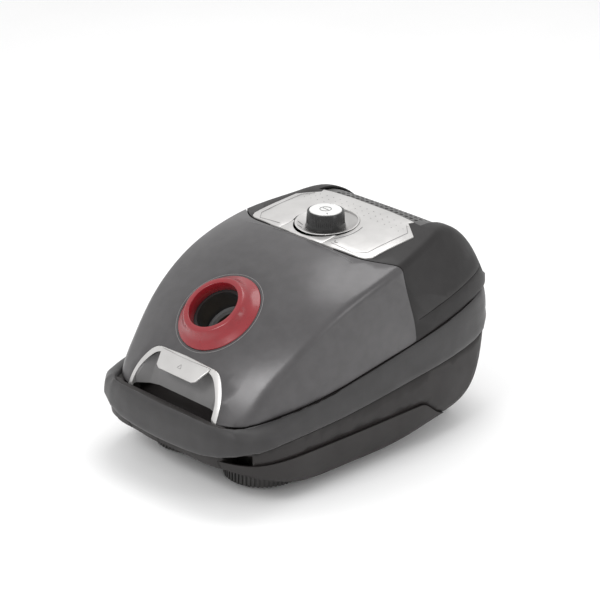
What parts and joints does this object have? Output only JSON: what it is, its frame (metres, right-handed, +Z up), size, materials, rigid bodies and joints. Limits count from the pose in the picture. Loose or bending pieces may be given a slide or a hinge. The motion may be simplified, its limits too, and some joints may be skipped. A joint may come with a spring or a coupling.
{
  "type": "canister vacuum cleaner",
  "caption": "Low bagged canister vacuum cleaner with a hinged front lid, hose inlet collar, carry bar, speed knob, exhaust grille and swivel casters.",
  "frame": {"origin": "on the floor under the middle of the body", "axes": "+Z up, -Y towards the hose inlet and carry bar, +X to the cleaner's left hand side seen from the front"},
  "size_m": [0.3214, 0.5005, 0.2964],
  "materials": {
    "lid_grey": "satin metallic mid grey",
    "housing_grey": "matte dark grey",
    "base_dark": "matte warm dark grey",
    "bumper_rubber": "soft matte rubber, dark grey",
    "silver_trim": "light satin silver",
    "grip_grey": "satin mid grey",
    "red_gloss": "deep red, glossy",
    "black_gloss": "gloss black",
    "white_silver": "white silver, satin gloss",
    "black_plastic": "moulded black",
    "seal_grey": "grey sealing lip",
    "soft_rubber": "soft black rubber",
    "caster_dark": "moulded dark grey",
    "wheel_tyre": "soft grey tyre",
    "grille_dark": "dark perforated grille",
    "steel": "plain steel",
    "copper": "copper windings",
    "aluminium": "pressed aluminium",
    "carbon": "graphite",
    "board_green": "circuit board",
    "bag_fabric": "white non-woven fleece",
    "card": "stiff card plate",
    "foam": "open cell foam",
    "filter_paper": "pleated filter paper"
  },
  "bodies": {
    "root": {"chassis_tub": "base_dark", "bumper_band": "bumper_rubber", "carry_rail": "base_dark", "belly_pan": "base_dark", "rear_housing": "housing_grey", "control_panel": "silver_trim", "knob_bezel": "silver_trim", "dust_bag": "bag_fabric", "bag_collar": "card", "bag_holder": "black_plastic", "speed_switch": "black_plastic", "control_board": "board_green", "motor_capsule": "black_plastic", "fan_shroud": "steel", "motor_stator": "steel", "motor_bearings": "steel", "carbon_brushes": "carbon", "motor_front_seal": "soft_rubber", "motor_rear_mount": "soft_rubber", "partition_wall": "base_dark", "exhaust_filter_frame": "black_plastic", "exhaust_filter_pleats": "filter_paper", "drum_axle": "steel", "rewind_spring_case": "steel", "cord_outlet": "soft_rubber", "pan_screws": "steel"},
    "lid": {"lid_shell": "lid_grey", "arch_trim": "silver_trim", "grip_wall": "grip_grey", "lid_seal": "soft_rubber", "inlet_collar": "red_gloss", "inlet_tube": "black_plastic", "inlet_seal": "seal_grey", "latch_spring": "steel", "lid_hinge_arms": "black_plastic"},
    "latch": {"latch_button": "silver_trim", "latch_hook": "black_plastic"},
    "knob": {"speed_knob": "black_gloss"},
    "button": {"power_button": "white_silver"},
    "grille_cover": {"exhaust_cover": "grille_dark", "exhaust_mesh": "grille_dark"},
    "motor_filter": {"motor_filter_frame": "black_plastic", "motor_filter_foam": "foam"},
    "rotor": {"motor_shaft": "steel", "motor_armature": "copper", "fan_impeller": "aluminium"},
    "drum": {"cord_drum": "black_plastic"},
    "lever": {"brake_lever": "black_plastic"},
    "front_swivel_left": {"front_turntable_left": "caster_dark", "front_axle_left": "steel"},
    "front_roller_left": {"front_wheel_left": "wheel_tyre"},
    "rear_swivel_left": {"rear_fork_left": "caster_dark", "rear_axle_left": "steel"},
    "rear_roller_left": {"rear_wheel_left": "wheel_tyre"},
    "front_swivel_right": {"front_turntable_right": "caster_dark", "front_axle_right": "steel"},
    "front_roller_right": {"front_wheel_right": "wheel_tyre"},
    "rear_swivel_right": {"rear_fork_right": "caster_dark", "rear_axle_right": "steel"},
    "rear_roller_right": {"rear_wheel_right": "wheel_tyre"}
  },
  "joints": [
    {"name": "lid_hinge", "type": "hinge", "parent": "root", "child": "lid", "pos_m": [0, 0.056, 0.254], "axis": [-1, 0, 0], "range_deg": [0, 65]},
    {"name": "latch_press", "type": "hinge", "parent": "lid", "child": "latch", "pos_m": [0, -0.1973, 0.158], "axis": [1, 0, 0], "range_deg": [0, 8], "stiffness_Nm_per_rad": 0.6, "deforming": ["latch_spring"]},
    {"name": "speed_turn", "type": "hinge", "parent": "root", "child": "knob", "pos_m": [0, 0.0465, 0.28], "axis": [0, 0, 1], "range_deg": [0, 270]},
    {"name": "power_press", "type": "slide", "parent": "knob", "child": "button", "axis": [0, 0, -1], "range_m": [0, 0.002], "stiffness_N_per_m": 600},
    {"name": "grille_hinge", "type": "hinge", "parent": "root", "child": "grille_cover", "pos_m": [0, 0.2012, 0.239], "axis": [-1, 0, 0], "range_deg": [0, 40]},
    {"name": "filter_lift", "type": "slide", "parent": "root", "child": "motor_filter", "axis": [0, 0, 1], "range_m": [0, 0.06]},
    {"name": "rotor_spin", "type": "hinge", "parent": "root", "child": "rotor", "pos_m": [-0.062, 0.1, 0.118], "axis": [0, 1, 0], "continuous": true},
    {"name": "drum_spin", "type": "hinge", "parent": "root", "child": "drum", "pos_m": [0.072, 0.116, 0.122], "axis": [1, 0, 0], "continuous": true},
    {"name": "brake_swing", "type": "hinge", "parent": "root", "child": "lever", "pos_m": [0.072, 0.0445, 0.142], "axis": [-1, 0, 0], "range_deg": [0, 8], "stiffness_Nm_per_rad": 0.3},
    {"name": "front_swivel_left", "type": "hinge", "parent": "root", "child": "front_swivel_left", "pos_m": [-0.0665, -0.129, 0.03], "axis": [0, 0, 1], "continuous": true},
    {"name": "front_roll_left", "type": "hinge", "parent": "front_swivel_left", "child": "front_roller_left", "pos_m": [-0.0665, -0.107, 0.0135], "axis": [1, 0, 0], "continuous": true},
    {"name": "rear_swivel_left", "type": "hinge", "parent": "root", "child": "rear_swivel_left", "pos_m": [-0.097, 0.16, 0.05], "axis": [0, 0, 1], "continuous": true},
    {"name": "rear_roll_left", "type": "hinge", "parent": "rear_swivel_left", "child": "rear_roller_left", "pos_m": [-0.097, 0.172, 0.0165], "axis": [1, 0, 0], "continuous": true},
    {"name": "front_swivel_right", "type": "hinge", "parent": "root", "child": "front_swivel_right", "pos_m": [0.0665, -0.129, 0.03], "axis": [0, 0, 1], "continuous": true},
    {"name": "front_roll_right", "type": "hinge", "parent": "front_swivel_right", "child": "front_roller_right", "pos_m": [0.0665, -0.107, 0.0135], "axis": [1, 0, 0], "continuous": true},
    {"name": "rear_swivel_right", "type": "hinge", "parent": "root", "child": "rear_swivel_right", "pos_m": [0.097, 0.16, 0.05], "axis": [0, 0, 1], "continuous": true},
    {"name": "rear_roll_right", "type": "hinge", "parent": "rear_swivel_right", "child": "rear_roller_right", "pos_m": [0.097, 0.172, 0.0165], "axis": [1, 0, 0], "continuous": true}
  ]
}
